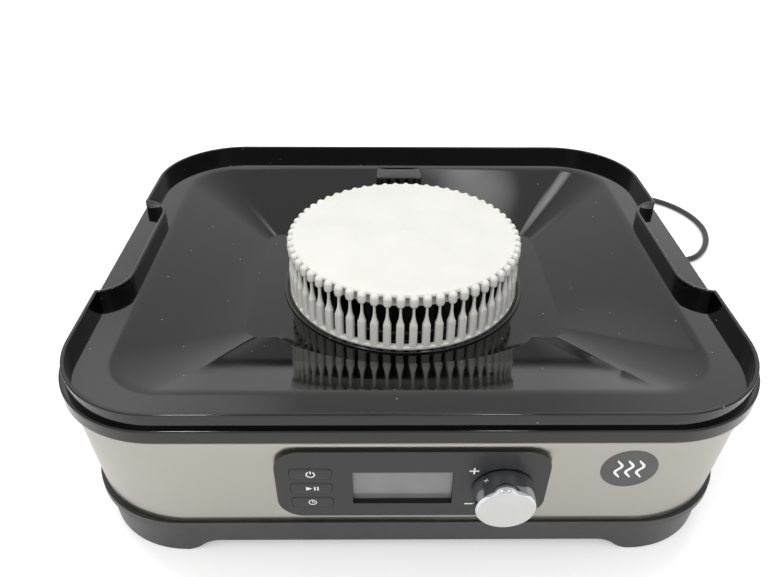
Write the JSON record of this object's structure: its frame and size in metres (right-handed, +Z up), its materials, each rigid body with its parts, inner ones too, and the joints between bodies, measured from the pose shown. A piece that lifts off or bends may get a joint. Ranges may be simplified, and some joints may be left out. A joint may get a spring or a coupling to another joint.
{
  "type": "food dehydrator base unit",
  "caption": "Rectangular heater and fan base of a stacking food dehydrator: funnel deck, ribbed fan cover, steel band, front panel with keys, display and dial, mains cord.",
  "frame": {"origin": "on the table, under the middle of the rim's rectangle", "axes": "+X to the right seen from the control panel, +Y to the back, +Z up"},
  "size_m": [0.467, 0.4461, 0.1083],
  "materials": {
    "deck_black": "high gloss moulded ABS",
    "base_black": "fine satin moulded plastic",
    "cover_white": "warm white satin moulded plastic",
    "band_steel": "fine horizontal brush",
    "panel_grey": "smooth satin moulded plastic",
    "button_grey": "smooth satin moulded plastic",
    "knob_chrome": "bright plated plastic",
    "lens_clear": "clear flat window",
    "display_grey": "unlit reflective display",
    "pad_rubber": "soft matt pads",
    "cord_black": "round flexible jacket",
    "tie_black": "flat tie",
    "pin_nickel": "nickel plated brass",
    "duct_black": "heat resistant moulding",
    "impeller_black": "heat resistant moulding",
    "zinc_steel": "zinc plated",
    "lamination_steel": "stacked laminations",
    "bush_brass": "sintered, oil filled",
    "winding_amber": "varnished winding",
    "heater_steel": "oxidised sheath",
    "board_green": "solder mask",
    "relay_blue": "moulded case",
    "case_grey": "moulded case",
    "case_yellow": "moulded case",
    "switch_black": "moulded case"
  },
  "bodies": {
    "housing": {"air_duct": "duct_black", "base_pan": "base_black", "board_screws": "zinc_steel", "bracket_screws": "zinc_steel", "capacitor": "case_yellow", "case_screws": "zinc_steel", "control_bezel": "panel_grey", "control_board": "board_green", "cord_bushing": "cord_black", "cord_coil": "cord_black", "cord_tie": "tie_black", "display_lens": "lens_clear", "display_module": "display_grey", "duct_screws": "zinc_steel", "encoder": "case_grey", "fan_cover": "cover_white", "foot_pads": "pad_rubber", "heater_clips": "zinc_steel", "heater_ring": "heater_steel", "mains_board": "board_green", "motor_bolts": "zinc_steel", "motor_bracket": "zinc_steel", "motor_bushes": "bush_brass", "motor_coil": "winding_amber", "motor_core": "lamination_steel", "motor_lower_strip": "zinc_steel", "motor_upper_strip": "zinc_steel", "plug_body": "cord_black", "plug_pins": "pin_nickel", "power_cord": "cord_black", "relay": "relay_blue", "steel_band": "band_steel", "tact_switches": "switch_black", "temperature_sensor": "case_grey", "terminal_block": "case_grey", "thermal_cutout": "case_grey", "thermal_fuse": "zinc_steel", "top_deck": "deck_black", "transformer": "case_grey"},
    "fan_rotor": {"impeller": "impeller_black", "impeller_nut": "zinc_steel", "motor_rotor": "lamination_steel", "motor_shaft": "zinc_steel"},
    "dial": {"knob": "knob_chrome", "dial_shaft": "zinc_steel"},
    "power_key": {"power_button": "button_grey"},
    "start_key": {"start_button": "button_grey"},
    "set_key": {"set_button": "button_grey"}
  },
  "joints": [
    {"name": "fan_spin", "type": "hinge", "parent": "housing", "child": "fan_rotor", "pos_m": [0, 0.0065, 0.07], "axis": [0, 0, 1], "continuous": true},
    {"name": "dial_turn", "type": "hinge", "parent": "housing", "child": "dial", "pos_m": [0.044, -0.15078, 0.05601], "axis": [0, -0.9954, -0.0958], "continuous": true},
    {"name": "power_press", "type": "slide", "parent": "housing", "child": "power_key", "axis": [0, 0.9954, 0.0958], "range_m": [0, 0.0008], "stiffness_N_per_m": 3000},
    {"name": "start_press", "type": "slide", "parent": "housing", "child": "start_key", "axis": [0, 0.9954, 0.0958], "range_m": [0, 0.0008], "stiffness_N_per_m": 3000},
    {"name": "set_press", "type": "slide", "parent": "housing", "child": "set_key", "axis": [0, 0.9954, 0.0958], "range_m": [0, 0.0008], "stiffness_N_per_m": 3000}
  ]
}
